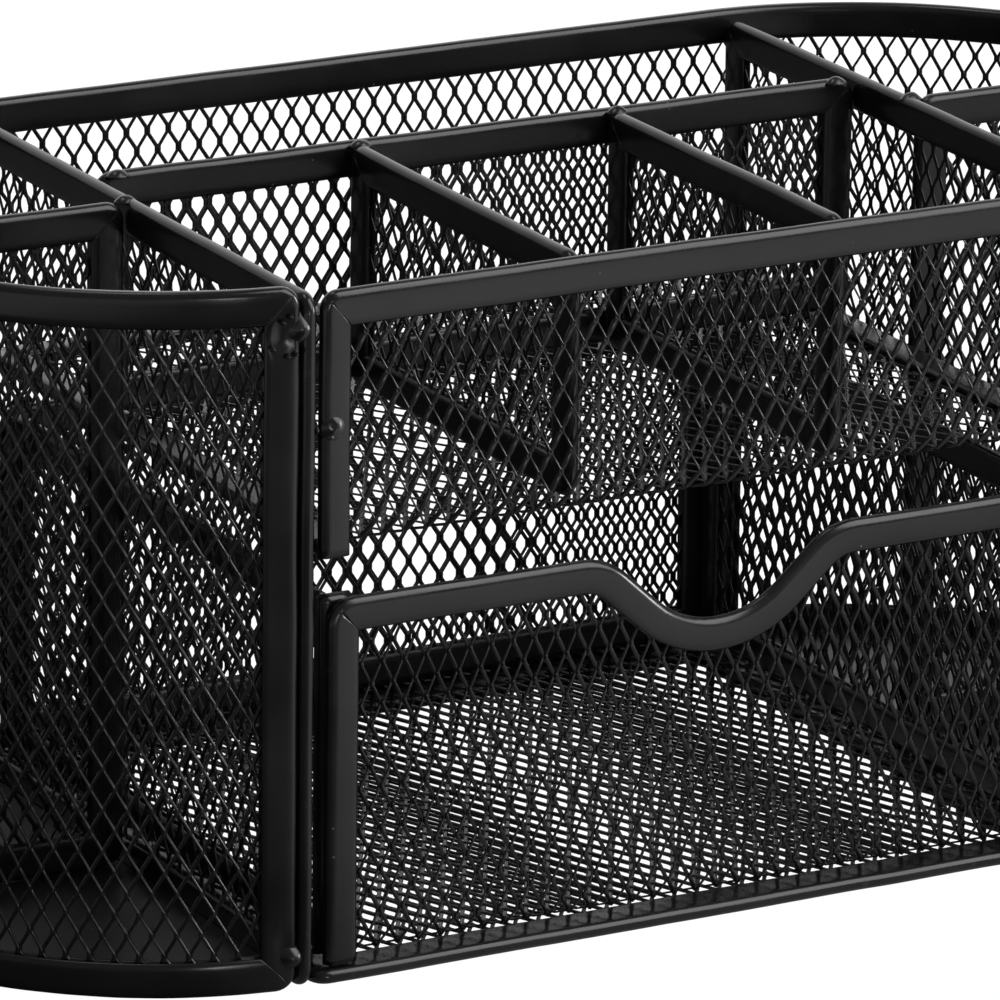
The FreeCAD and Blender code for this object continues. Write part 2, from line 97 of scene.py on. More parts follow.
# fine orange peel of baked powder, over long shallow waves
def makeCoatGrain():
    group, start, end = newGroup(
        "coatGrain",
        [("Peel Scale", "NodeSocketFloat", 2200.0), ("Wave Scale", "NodeSocketFloat", 90.0),
         ("Wave Share", "NodeSocketFloat", 0.35)],
        [("Height", "NodeSocketFloat"), ("Cloud", "NodeSocketFloat")],
    )
    place = addNode(group, "ShaderNodeTexCoord").outputs["Object"]
    peel = addNode(group, "ShaderNodeTexNoise",
                   {"Vector": place, "Scale": start.outputs["Peel Scale"], "Detail": 3.0, "Roughness": 0.6})
    wave = addNode(group, "ShaderNodeTexNoise",
                   {"Vector": place, "Scale": start.outputs["Wave Scale"], "Detail": 2.0, "Roughness": 0.5})
    waves = mathNode(group, "MULTIPLY", wave.outputs["Fac"], start.outputs["Wave Share"])
    group.links.new(mathNode(group, "ADD", peel.outputs["Fac"], waves), end.inputs["Height"])
    group.links.new(wave.outputs["Fac"], end.inputs["Cloud"])
    return group


# paint rubbed thin where a fold or a bead stands proud
def makeEdgeRub():
    group, start, end = newGroup(
        "edgeRub",
        [("Patch Scale", "NodeSocketFloat", 260.0), ("Start", "NodeSocketFloat", 0.55),
         ("Full", "NodeSocketFloat", 0.8)],
        [("Mask", "NodeSocketFloat")],
    )
    place = addNode(group, "ShaderNodeTexCoord").outputs["Object"]
    fold = addNode(group, "ShaderNodeAttribute", attribute_name="proud").outputs["Fac"]
    patch = addNode(group, "ShaderNodeTexNoise",
                    {"Vector": place, "Scale": start.outputs["Patch Scale"], "Detail": 4.0, "Roughness": 0.7})
    worn = rampNode(group, patch.outputs["Fac"], start.outputs["Start"], start.outputs["Full"])
    group.links.new(mathNode(group, "MULTIPLY", worn, fold, clamp=True), end.inputs["Mask"])
    return group


# sparse pale specks of dust and grit caught in the coat
def makeDustSpecks():
    group, start, end = newGroup(
        "dustSpecks",
        [("Speck Scale", "NodeSocketFloat", 420.0), ("Speck Size", "NodeSocketFloat", 0.09),
         ("Rarity", "NodeSocketFloat", 0.86)],
        [("Mask", "NodeSocketFloat")],
    )
    place = addNode(group, "ShaderNodeTexCoord").outputs["Object"]
    cells = addNode(group, "ShaderNodeTexVoronoi", {"Vector": place, "Scale": start.outputs["Speck Scale"]})
    picked = addNode(group, "ShaderNodeSeparateColor", {"Color": cells.outputs["Color"]}).outputs["Red"]
    near = mathNode(group, "LESS_THAN", cells.outputs["Distance"], start.outputs["Speck Size"])
    rare = mathNode(group, "GREATER_THAN", picked, start.outputs["Rarity"])
    group.links.new(mathNode(group, "MULTIPLY", near, rare, clamp=True), end.inputs["Mask"])
    return group


coatGrain = makeCoatGrain()
edgeRub = makeEdgeRub()
dustSpecks = makeDustSpecks()


def groupNode(tree, group, **values):
    node = addNode(tree, "ShaderNodeGroup", node_tree=group)
    for label, value in values.items():
        node.inputs[label].default_value = value
    return node


# one baked black powder coat, tuned for each kind of metal under it
def powderCoat(name, look):
    material = bpy.data.materials.new(name)
    material.use_nodes = True
    tree = material.node_tree
    shader = tree.nodes["Principled BSDF"]
    grain = groupNode(tree, coatGrain, **{"Peel Scale": look["peelScale"], "Wave Scale": look["waveScale"],
                                          "Wave Share": look["waveShare"]})
    rub = groupNode(tree, edgeRub, **{"Patch Scale": look["patchScale"], "Start": look["rubStart"],
                                      "Full": look["rubFull"]})
    specks = groupNode(tree, dustSpecks, **{"Speck Scale": look["speckScale"], "Speck Size": look["speckSize"],
                                            "Rarity": look["speckRarity"]})
    cloud = rampNode(tree, grain.outputs["Cloud"], look["cloudLow"], look["cloudHigh"])
    coat = addNode(tree, "ShaderNodeMix", {0: cloud, 6: look["dark"], 7: look["light"]}, data_type="RGBA")
    worn = addNode(tree, "ShaderNodeMix", {0: rub.outputs["Mask"], 6: coat.outputs[2], 7: look["rubbed"]},
                   data_type="RGBA")
    dusty = addNode(tree, "ShaderNodeMix", {0: specks.outputs["Mask"], 6: worn.outputs[2], 7: look["dust"]},
                    data_type="RGBA")
    tree.links.new(dusty.outputs[2], shader.inputs["Base Color"])
    rough = addNode(tree, "ShaderNodeMapRange", {"Value": grain.outputs["Cloud"], "From Min": look["cloudLow"],
                                                 "From Max": look["cloudHigh"], "To Min": look["roughLow"],
                                                 "To Max": look["roughHigh"]})
    tree.links.new(rough.outputs["Result"], shader.inputs["Roughness"])
    bump = addNode(tree, "ShaderNodeBump", {"Strength": look["bump"], "Distance": look["bumpDepth"],
                                            "Height": grain.outputs["Height"]})
    tree.links.new(bump.outputs["Normal"], shader.inputs["Normal"])
    shader.inputs["Specular IOR Level"].default_value = look["specular"]
    return material


coatLook = {
    "dark": (0.0055, 0.0052, 0.0058, 1), "light": (0.0105, 0.0100, 0.0108, 1),
    "rubbed": (0.055, 0.052, 0.050, 1), "dust": (0.09, 0.088, 0.084, 1),
    "peelScale": 2400.0, "waveScale": 85.0, "waveShare": 0.5, "patchScale": 240.0,
    "cloudLow": 0.3, "cloudHigh": 0.7, "rubStart": 0.62, "rubFull": 0.86,
    "speckScale": 330.0, "speckSize": 0.055, "speckRarity": 0.86,
    "roughLow": 0.20, "roughHigh": 0.28, "bump": 0.22, "bumpDepth": 0.00004, "specular": 0.5,
}
stripCoat = powderCoat("stripCoat", coatLook)
netCoat = powderCoat("netCoat", {**coatLook, "roughLow": 0.20, "roughHigh": 0.30, "bump": 0.12,
                                 "rubStart": 0.70, "rubFull": 0.95, "speckSize": 0.07})
plateCoat = powderCoat("plateCoat", {**coatLook, "roughLow": 0.34, "roughHigh": 0.50, "waveScale": 45.0,
                                     "waveShare": 1.2, "speckSize": 0.09, "bump": 0.3})
weldCoat = powderCoat("weldCoat", {**coatLook, "roughLow": 0.18, "roughHigh": 0.34, "peelScale": 1500.0,
                                   "waveScale": 400.0, "waveShare": 1.0, "bump": 0.4,
                                   "rubStart": 0.50, "rubFull": 0.75})
print("materials made")


# quads between neighbouring rings of points, round each ring and, if closed, from the last to the first
def ringFaces(rings, around, closed, first=0):
    row = np.arange(rings if closed else rings - 1)[:, None]
    column = np.arange(around)[None, :]
    nextRow, nextColumn = (row + 1) % rings, (column + 1) % around
    corners = [row * around + column, nextRow * around + column,
               nextRow * around + nextColumn, row * around + nextColumn]
    return np.stack(corners, axis=-1).reshape(-1, 4) + first


# the two closing faces of a run of points: its first ring and its last
def endCaps(total, around, first=0):
    last = first + total - 1
    return [range(first, first + around), range(last, last - around, -1)]


# positive when the faces look outwards
def enclosedVolume(points, faces):
    total = 0.0
    for second in (1, 2):
        a, b, c = (points[faces[:, i]] for i in (0, second, second + 1))
        total += float(np.einsum("ij,ij->i", a, np.cross(b, c)).sum())
    return total / 6


# proud is how far each point stands out, from 0 to 1, where paint rubs thin
def makePiece(name, points, faces, caps, material, body, nodes, proud=None):
    points = np.asarray(points).reshape(-1, 3)
    caps = [list(cap) for cap in caps]
    if enclosedVolume(points, faces) < 0:
        faces = faces[:, ::-1]
        caps = [cap[::-1] for cap in caps]
    mesh = bpy.data.meshes.new(name)
    mesh.from_pydata(points.tolist(), [], faces.tolist() + caps)
    mesh.shade_smooth()
    if proud is not None:
        layer = mesh.attributes.new("proud", "FLOAT", "POINT")
        layer.data.foreach_set("value", np.asarray(proud, dtype=np.float32).ravel())
    mesh.materials.append(material)
    piece = bpy.data.objects.new(name, mesh)
    bpy.context.scene.collection.objects.link(piece)
    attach(piece, body)
    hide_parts(*nodes)


# a flat panel's own axes, read from its node: u along it, v up it (back on a lying one), t through it
def flatPanel(node):
    low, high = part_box(node)
    size = high - low
    through = min(range(3), key=lambda axis: size[axis])
    along, up = [axis for axis in range(3) if axis != through]
    middle = (low[through] + high[through]) / 2

    def place(u, v, t):
        u, v, t = np.broadcast_arrays(u, v, t)
        spot = np.zeros(u.shape + (3,))
        spot[..., along], spot[..., up], spot[..., through] = u, v, middle + t
        return spot

    return {"u": (low[along], high[along]), "v": (low[up], high[up]), "thick": size[through], "place": place}


strip = {
    "width": 5.1 * mm, "drawerWidth": 4.7 * mm, "margin": 0.06 * mm, "foldSteps": 5, "ringStep": 1.1 * mm,
    # roundness of the folded edge
    "fold": 1.0, "softFold": 1.2, "drawerFold": 1.25,
    # the side of the section: shares of the width and of the half thickness
    "side": ((0.36, 1.0), (0.46, 1.0), (0.56, 1.0), (0.66, 0.985), (0.76, 0.96), (0.86, 0.93)),
    # the edge that turns in to hold the mesh
    "lip": 0.62, "lipRound": 0.3 * mm, "lipShoulder": 0.80,
    "grooveDepth": 0.9 * mm, "grooveHalf": 0.36 * mm, "grooveTaper": 0.9,
    # corners, and the mitre seam across a square one
    "cornerRadius": 2.8 * mm, "cornerSpread": 1.5 * mm, "cornerRoom": 0.4 * mm, "spreadLeast": 0.35,
    "bendStep": math.radians(6), "squareWithin": math.radians(2),
    "squareSteps": (0.0, 0.14, 0.28, 0.40, 0.465, 0.5, 0.535, 0.60, 0.72, 0.86, 1.0),
    "seamDepth": 0.34 * mm, "seamHalf": 0.07 * mm, "seamStart": 1.0 * mm, "seamEase": 0.6 * mm,
    # slow waves and fine ripples
    "waveLength": 17 * mm, "waveHeight": 0.10 * mm, "rippleLength": 4.5 * mm, "rippleHeight": 0.025 * mm,
    "seedStep": 3.7, "rubbedDepth": 1.0 * mm,
    # the tray front's uprights against its top, and how far it reaches past its node
    "trayUpright": 0.86, "trayReach": 0.1 * mm,
}


# points (depth from the folded edge, distance from the middle) once round a strip's section
def stripSection(thick, width, fold):
    half = thick / 2 - strip["margin"]
    lip = strip["lip"] * half
    steps = strip["foldSteps"]
    side = []
    for i in range(steps + 1):
        angle = math.pi / 2 * i / steps
        side.append((half * fold * (1 - math.cos(angle)), half * math.sin(angle)))
    side += [(width * inwards, half * away) for inwards, away in strip["side"]]
    side += [
        (width - strip["lipRound"], half * strip["lipShoulder"]),
        (width, lip),
        (width - strip["lipRound"] / 3, strip["grooveHalf"]),
        (width - strip["grooveDepth"], strip["grooveHalf"] * strip["grooveTaper"]),
    ]
    return np.array(side + [(depth, -away) for depth, away in reversed(side[1:])])


def leftOf(direction):
    return np.array((-direction[1], direction[0]))


# rings of (u, v) for every depth round one corner, from the side before it to the side after it
def cornerRings(before, here, after, radius, depths):
    width = depths.max()
    into, out = here - before, after - here
    into, out = into / np.linalg.norm(into), out / np.linalg.norm(out)
    turn = math.atan2(into[0] * out[1] - into[1] * out[0], float(into @ out))
    inward, inwardAfter = leftOf(into), leftOf(out)
    reach = radius * math.tan(abs(turn) / 2)
    convex = turn > 0
    centre = here - into * reach + inward * (radius if convex else -radius)
    square = abs(abs(turn) - math.pi / 2) < strip["squareWithin"]
    steps = strip["squareSteps"] if square else np.linspace(0, 1, max(3, int(abs(turn) / strip["bendStep"])))
    rings, seams = [], []
    for share in steps:
        angle = turn * share
        spin = np.array(((math.cos(angle), -math.sin(angle)), (math.sin(angle), math.cos(angle))))
        normal = spin @ inward
        if not convex:
            rings.append(centre + normal * (radius + depths)[:, None])
        else:
            rounded = centre - normal * (radius - depths)[:, None]
            mitre = here + (inward + inwardAfter) * (depths / (1 + math.cos(turn)))[:, None]
            beyond = np.clip((depths - radius) / max(width - radius, strip["margin"]), 0, 1)
            spread = np.interp(abs(share - 0.5), (0, 0.035, 0.5), (0, strip["seamHalf"], strip["cornerSpread"]))
            shift = spread * (strip["spreadLeast"] + (1 - strip["spreadLeast"]) * beyond)[:, None]
            sharp = mitre - into * shift if share < 0.5 else mitre + out * shift
            rings.append(np.where((depths < radius)[:, None], rounded, sharp))
        seams.append(square and share == 0.5)
    return rings, seams, width + strip["cornerSpread"] + strip["cornerRoom"] if square else reach, square


# rings along a whole outline (u, v, radius), run anticlockwise; openSide is a side with no strip
def stripRings(corners, openSide, depths):
    count = len(corners)
    points = [np.array(corner[:2]) for corner in corners]
    bends = {}
    for i in range(count):
        if openSide is None or i not in (openSide, (openSide + 1) % count):
            bends[i] = cornerRings(points[i - 1], points[i], points[(i + 1) % count], corners[i][2], depths)
    rings, seams = [], []
    order = range(count) if openSide is None else [(openSide + 1 + i) % count for i in range(count - 1)]
    for i in order:
        start, end = points[i], points[(i + 1) % count]
        along = (end - start) / np.linalg.norm(end - start)
        if i in bends:
            rings += bends[i][0]
            seams += bends[i][1]
        first = bends[i][2] if i in bends else 0.0
        last = np.linalg.norm(end - start) - (bends[(i + 1) % count][2] if (i + 1) % count in bends else 0.0)
        distances = np.linspace(first, last, max(2, int((last - first) / strip["ringStep"])) + 1)
        if i in bends and not bends[i][3]:
            distances = distances[1:]
        if (i + 1) % count in bends and not bends[(i + 1) % count][3]:
            distances = distances[:-1]
        for distance in distances:
            rings.append(start + along * distance + leftOf(along) * depths[:, None])
            seams.append(False)
    return np.array(rings), np.array(seams)


# slow waves and fine ripples of a hand-folded edge, and the dents that welding leaves
def weather(points, seed, dents=()):
    low, high = cadBox
    shifted = points.copy()
    flat = shifted.reshape(-1, 3)
    for spot in flat:
        place = Vector(spot)
        wave = noise.noise_vector(place / strip["waveLength"] + Vector((seed, 0, 0)))
        ripple = noise.noise_vector(place / strip["rippleLength"] + Vector((0, seed, 0)))
        spot += np.array(wave) * strip["waveHeight"] + np.array(ripple) * strip["rippleHeight"]
        for where, reach, push in dents:
            away = (place - where).length / reach
            if away < 1:
                spot += np.array(push) * (1 - away * away) ** 2
    flat[:] = np.clip(flat, np.array(low), np.array(high))
    return shifted


def makeStrip(name, corners, place, thick, body, nodes, openSide=None, dents=(), seed=0.0, fold=strip["fold"],
              width=None):
    usual = strip["drawerWidth"] if body == "drawer" else strip["width"]
    section = stripSection(thick, width or usual, fold)
    depths, across = section[:, 0], section[:, 1]
    rings, seams = stripRings(corners, openSide, depths)
    groove = np.where(seams[:, None], strip["seamDepth"], 0.0)
    groove = groove * np.clip((depths - strip["seamStart"]) / strip["seamEase"], 0, 1)[None, :]
    t = np.sign(across)[None, :] * np.maximum(np.abs(across)[None, :] - groove, strip["grooveHalf"] / 2)
    t = np.where(np.abs(across)[None, :] < 1e-9, 0.0, t)
    points = weather(place(rings[..., 0], rings[..., 1], t), seed, dents)
    faces = ringFaces(len(rings), len(section), closed=openSide is None)
    caps = [] if openSide is None else endCaps(len(rings) * len(section), len(section))
    proud = np.broadcast_to(np.clip(1 - depths / strip["rubbedDepth"], 0, 1), (len(rings), len(section)))
    makePiece(name, points, faces, caps, stripCoat, body, nodes, proud)


def rectangleCorners(panel, bottomRadius=strip["cornerRadius"]):
    (u0, u1), (v0, v1) = panel["u"], panel["v"]
    return [(u0, v0, bottomRadius), (u1, v0, bottomRadius),
            (u1, v1, strip["cornerRadius"]), (u0, v1, strip["cornerRadius"])]


net = {
    "pitchU": 3.33 * mm, "pitchV": 5.88 * mm, "strandHalf": 0.41 * mm, "strandThick": 0.12 * mm,
    "bondReach": 0.34, "edge": 1.3 * mm, "shake": 0.01 * mm,
    # where a strand's lean sets in between two bonds, and its sway there
    "leanFrom": 0.06, "leanTo": 0.94, "leanSway": 0.92,
    # a ribbon's section: shares of its half width and of its thickness
    "section": ((1, 0), (0.55, 1), (-0.55, 1), (-1, 0), (-0.55, -1), (0.55, -1)),
}
# how far the strands of the two directions are turned, in degrees, and how wide they are
netLooks = {
    "calm": {"litTurn": 5, "darkTurn": -5, "litWide": 0.98, "darkWide": 0.98, "bond": 0.36 * mm},
    "floor": {"litTurn": 17, "darkTurn": 13, "litWide": 1.0, "darkWide": 1.0, "bond": 0.30 * mm},
    "side": {"litTurn": 25, "darkTurn": 21, "litWide": 0.98, "darkWide": 0.98, "bond": 0.30 * mm},
    "tray": {"litTurn": 20, "darkTurn": -30, "litWide": 0.50, "darkWide": 1.0, "bond": 0.21 * mm},
    "drawer": {"litTurn": -18, "darkTurn": -26, "litWide": 0.55, "darkWide": 0.80, "bond": 0.21 * mm},
    "end": {"litTurn": 26, "darkTurn": -8, "litWide": 0.68, "darkWide": 0.80, "bond": 0.26 * mm},
    "rear": {"litTurn": 5, "darkTurn": -5, "litWide": 0.86, "darkWide": 0.86, "bond": 0.40 * mm},
}


# each ribbon of an expanded sheet zigzags up between its two neighbours, and meets each at a bond in turn
def makeNet(name, place, uRange, vRange, body, nodes, flip=1, top=None, look="calm", origin=(0, 0),
            stretch=1):
    halfU, halfV = net["pitchU"] / 2 * stretch, net["pitchV"] / 2
    fromU, fromV = origin
    bondHalf = net["strandHalf"]
    look = netLooks[look]
    bond = look["bond"]
    swing = halfU / 2 - bondHalf * net["bondReach"]
    ramp = halfV - 2 * bond
    levels, lean, slope = [], [], []
    first, last = math.floor((vRange[0] - fromV) / halfV) - 1, math.ceil((vRange[1] - fromV) / halfV) + 1
    for row in range(first, last):
        side = 1 if row % 2 else -1
        for offset, share, leaning in ((-bond, 1.0, 0.0), (bond, 1.0, 0.0),
                                       (bond + ramp * net["leanFrom"], net["leanSway"], 1.0),
                                       (bond + ramp * net["leanTo"], -net["leanSway"], 1.0)):
            levels.append(fromV + row * halfV + offset)
            lean.append(side * share)
            slope.append(-side * leaning)
    levels, lean, slope = (np.array(values) for values in (levels, lean, slope))
    ring = np.array(net["section"], dtype=float)
    lit, dark = math.radians(look["litTurn"]), math.radians(look["darkTurn"])
    evenWide, wideSpread = (look["litWide"] + look["darkWide"]) / 2, (look["darkWide"] - look["litWide"]) / 2
    evenTurn, turnSpread = (lit + dark) / 2, (lit - dark) / 2
    points, faces, caps = [], [], []
    used = 0
    columns = range(math.ceil((uRange[0] - fromU) / halfU - 0.5),
                    math.floor((uRange[1] - fromU) / halfU - 0.5) + 1)
    generator = np.random.default_rng(int(abs(uRange[0]) * 1e5) + len(name))
    for column in columns:
        middle = fromU + (column + 0.5) * halfU
        side = 1 if column % 2 else -1
        end = vRange[1] if top is None else top(middle)
        keep = (levels > vRange[0]) & (levels < end)
        v = np.concatenate(([vRange[0]], levels[keep], [end]))
        sway = np.interp(v, levels, lean) * side
        leaning = np.interp(v, levels, slope) * side * flip
        half = net["strandHalf"] * (evenWide + wideSpread * leaning)
        u = middle + sway * swing + generator.normal(0, net["shake"])
        t = -sway * bondHalf * math.tan(evenTurn)
        turn = (evenTurn - turnSpread * leaning)[:, None]
        across = half[:, None] * ring[None, :, 0]
        through = net["strandThick"] * ring[None, :, 1]
        ringU = u[:, None] + across * np.cos(turn) - through * np.sin(turn)
        ringT = t[:, None] + across * np.sin(turn) + through * np.cos(turn)
        points.append(place(ringU, v[:, None], ringT).reshape(-1, 3))
        faces.append(ringFaces(len(v), len(ring), closed=False, first=used))
        caps += endCaps(len(v) * len(ring), len(ring), first=used)
        used += len(v) * len(ring)
    makePiece(name, np.concatenate(points), np.concatenate(faces), caps, netCoat, body, nodes)


def insetRange(limits, amount):
    return limits[0] + amount, limits[1] - amount


# what differs from panel to panel; flip -1 turns the strands the other way, and openSide 3 has no strip in front
flatPanels = {
    "left_partition": {"body": "organizer"},
    "right_partition": {"body": "organizer"},
    "left_end_divider": {"body": "organizer", "flip": -1},
    "right_end_divider": {"body": "organizer", "flip": -1},
    "long_divider": {"body": "organizer"},
    "tray_divider_1": {"body": "organizer"},
    "tray_divider_2": {"body": "organizer"},
    "base": {"body": "organizer", "look": "floor", "origin": (1.0 * mm, 1.5 * mm), "stretch": 1.08,
             "width": 6.2 * mm},
    "left_drawer_side": {"body": "drawer", "flip": -1, "openSide": 3, "look": "side"},
    "right_drawer_side": {"body": "drawer", "openSide": 3},
    "drawer_back": {"body": "drawer", "origin": (7.9 * mm, 1.33 * mm), "stretch": 1.05},
}
for seed, (name, panelLook) in enumerate(flatPanels.items()):
    panel = flatPanel(name + "_frame")
    makeStrip(name + "_strip", rectangleCorners(panel), panel["place"], panel["thick"], panelLook["body"],
              [name + "_frame"], openSide=panelLook.get("openSide"), seed=seed * strip["seedStep"],
              width=panelLook.get("width"))
    netSettings = {key: panelLook[key] for key in ("flip", "look", "origin", "stretch") if key in panelLook}
    makeNet(name + "_net", panel["place"], insetRange(panel["u"], net["edge"]),
            insetRange(panel["v"], net["edge"]), panelLook["body"], [name + "_mesh"], **netSettings)
print("flat panels made")


# the wall round the ends and the rear as one strip: s along it from the middle of the rear, t outwards
def outerWall():
    rearLow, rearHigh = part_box("rear_wall_frame")
    endLow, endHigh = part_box("left_end_frame")
    thick = rearHigh.y - rearLow.y
    radius = (rearHigh.y - endLow.y) / 2 - thick / 2
    middleY = rearHigh.y - thick / 2
    centreX = -endLow.x - thick / 2 - radius
    centreY = middleY - radius
    sweep = math.pi - math.asin((-endHigh.x - centreX) / (radius + thick / 2))
    half = centreX + radius * sweep

    def place(s, v, t):
        s, v, t = np.broadcast_arrays(s, v, t)
        angle = np.maximum(np.abs(s) - centreX, 0) / radius
        outward = np.sign(s) * (centreX + (radius + t) * np.sin(angle))
        straight = np.abs(s) <= centreX
        x = np.where(straight, s, outward)
        y = np.where(straight, middleY + t, centreY + (radius + t) * np.cos(angle))
        return np.stack((x, y, v), axis=-1)

    return {"u": (-half, half), "v": (endLow.z, endHigh.z), "thick": thick, "place": place, "rearHalf": centreX}


wall = outerWall()
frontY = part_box("tray_front_frame")[0].y
# the welds pull the strip in round them: across, height and reach of each dent
seamDent = {"spots": ((66.0 * mm, 91.8 * mm, 2.9 * mm), (65.2 * mm, 6.6 * mm, 2.0 * mm)), "push": 0.75 * mm}
seamDents = [(Vector((sign * x, frontY, z)), reach, (0, seamDent["push"], 0))
             for sign in (-1, 1) for x, z, reach in seamDent["spots"]]
makeStrip("outer_wall_strip", rectangleCorners(wall), wall["place"], wall["thick"], "organizer",
          ["left_end_frame", "rear_wall_frame", "right_end_frame"], seed=51.0, dents=seamDents)
wallSpan = insetRange(wall["u"], net["edge"])
wallHeight = insetRange(wall["v"], net["edge"])
for name, span in {"left_end": (wallSpan[0], -wall["rearHalf"]),
                   "rear_wall": (-wall["rearHalf"], wall["rearHalf"]),
                   "right_end": (wall["rearHalf"], wallSpan[1])}.items():
    makeNet(name + "_net", wall["place"], span, wallHeight, "organizer", [name + "_mesh"], flip=-1,
            look="rear" if name == "rear_wall" else "end")
for name in ("left_end_bottom", "right_end_bottom"):
    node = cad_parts[name]
    node.data.materials.clear()
    node.data.materials.append(plateCoat)
print("outer wall made")


# one sheet that comes down the front, bends back and runs on as a floor: v is 0 where the bend begins
def bentSheet(frontMesh, floorMesh):
    low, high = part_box(frontMesh)
    floorLow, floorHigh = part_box(floorMesh)
    half = (floorHigh.z - floorLow.z) / 2
    radius = high.y - low.y - half
    centreY, centreZ = high.y, low.z + half + radius
    quarter = radius * math.pi / 2

    def place(u, v, t):
        u, v, t = np.broadcast_arrays(u, v, t)
        angle = np.clip(-v / radius, 0, math.pi / 2)
        y = centreY - (radius - t) * np.cos(angle) + np.maximum(-v - quarter, 0)
        z = centreZ - (radius - t) * np.sin(angle) + np.maximum(v, 0)
        return np.stack((u, y, z), axis=-1)

    return {"u": (floorLow.x, floorHigh.x), "top": high.z - centreZ, "floorEnd": centreY - floorHigh.y - quarter,
            "bendEnd": -quarter, "place": place, "centreZ": centreZ}


traySheet = bentSheet("tray_front_mesh", "tray_floor_mesh")
makeNet("tray_front_net", traySheet["place"], traySheet["u"], (traySheet["bendEnd"], traySheet["top"]),
        "organizer", ["tray_front_mesh"], flip=1, look="tray")
makeNet("tray_floor_net", traySheet["place"], traySheet["u"], (traySheet["floorEnd"], traySheet["bendEnd"]),
        "organizer", ["tray_floor_mesh"], flip=1)
trayFront = flatPanel("tray_front_frame")
trayFront["u"] = insetRange(trayFront["u"], -strip["trayReach"])


# the uprights are a little narrower than the strip along the top
def narrowUprights(u, v, t):
    depth = np.minimum(trayFront["u"][1] - np.abs(u), strip["width"])
    return trayFront["place"](u + np.sign(u) * depth * (1 - strip["trayUpright"]), v, t)


makeStrip("tray_front_strip", rectangleCorners(trayFront, bottomRadius=0.0), narrowUprights,
          trayFront["thick"], "organizer", ["tray_front_frame"], openSide=0, seed=61.0, fold=strip["softFold"])
trayFloor = flatPanel("tray_floor_frame")
makeStrip("tray_floor_strip", rectangleCorners(trayFloor, bottomRadius=0.0), trayFloor["place"],
          trayFloor["thick"], "organizer", ["tray_floor_frame"], openSide=0, seed=67.0)

# the finger scoop in the drawer front's strip, and how far below its edge the mesh ends
scoop = {
    "depth": 11.0 * mm, "slope": math.radians(42), "bottomRadius": 14 * mm, "shoulderRadius": 10 * mm,
    "shift": 2.0 * mm, "cornerRadius": 4.0 * mm, "meshDrop": 2.4 * mm,
}


def drawerFrontCorners(panel):
    (u0, u1), (v0, v1) = panel["u"], panel["v"]
    apex = scoop["depth"] + scoop["bottomRadius"] * (1 / math.cos(scoop["slope"]) - 1)
    reach = apex / math.tan(scoop["slope"])
    return [
        (u0, v0, 0.0),
        (u1, v0, 0.0),
        (u1, v1, scoop["cornerRadius"]),
        (scoop["shift"] + reach, v1, scoop["shoulderRadius"]),
        (scoop["shift"], v1 - apex, scoop["bottomRadius"]),
        (scoop["shift"] - reach, v1, scoop["shoulderRadius"]),
        (u0, v1, scoop["cornerRadius"]),
    ]


drawerFront = flatPanel("drawer_front_frame")
drawerCorners = drawerFrontCorners(drawerFront)
makeStrip("drawer_front_strip", drawerCorners, drawerFront["place"], drawerFront["thick"], "drawer",
          ["drawer_front_frame"], openSide=0, seed=71.0, fold=strip["drawerFold"])
drawerSheet = bentSheet("drawer_front_mesh", "drawer_floor_mesh")


# height of the mesh's upper end under the dipped strip
def underScoop(u):
    away = abs(u - scoop["shift"])
    straight = drawerFront["v"][1]
    slopeLine = drawerCorners[4][1] + away * math.tan(scoop["slope"])
    bowl = straight - scoop["depth"] + away * away / (2 * scoop["bottomRadius"])
    return min(straight, max(slopeLine, bowl)) - scoop["meshDrop"] - drawerSheet["centreZ"]


makeNet("drawer_front_net", drawerSheet["place"], drawerSheet["u"], (drawerSheet["bendEnd"], drawerSheet["top"]),
        "drawer", ["drawer_front_mesh"], flip=-1, top=underScoop, look="drawer")
makeNet("drawer_floor_net", drawerSheet["place"], drawerSheet["u"],
        (drawerSheet["floorEnd"], drawerSheet["bendEnd"]), "drawer", ["drawer_floor_mesh"], flip=-1, look="floor")
print("tray and drawer made")


drawerReturn = {"rings": 4, "rubbed": 0.8, "seed": 80.0}


# the tab that turns in behind each end of the drawer front, rounded along its top
def makeReturn(side):
    node = side + "_drawer_corner_return"
    low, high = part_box(node)
    half = (high.y - low.y) / 2 - strip["margin"]
    middleY = (low.y + high.y) / 2
    rings = []
    for x in np.linspace(low.x, high.x, drawerReturn["rings"]):
        ring = []
        for i in range(strip["foldSteps"] * 2 + 1):
            angle = math.pi * i / (strip["foldSteps"] * 2)
            ring.append((x, middleY - half * math.cos(angle), high.z - half + half * math.sin(angle)))
        ring += [(x, middleY + half, low.z), (x, middleY - half, low.z)]
        rings.append(ring)
    rings = np.array(rings)
    count, around = rings.shape[:2]
    proud = np.zeros((count, around))
    proud[:, :strip["foldSteps"] * 2 + 1] = drawerReturn["rubbed"]
    points = weather(rings, drawerReturn["seed"] + len(side))
    makePiece(side + "_drawer_return_strip", points, ringFaces(count, around, closed=False),
              endCaps(count * around, around), stripCoat, "drawer", [node], proud)


for side in ("left", "right"):
    makeReturn(side)

weld = {
    "rings": 8, "around": 24, "innerRing": 0.06, "lumpLength": 1.1 * mm, "lumpHeight": 0.12 * mm,
    "root": 0.5 * mm, "seedStep": 2.3,
}


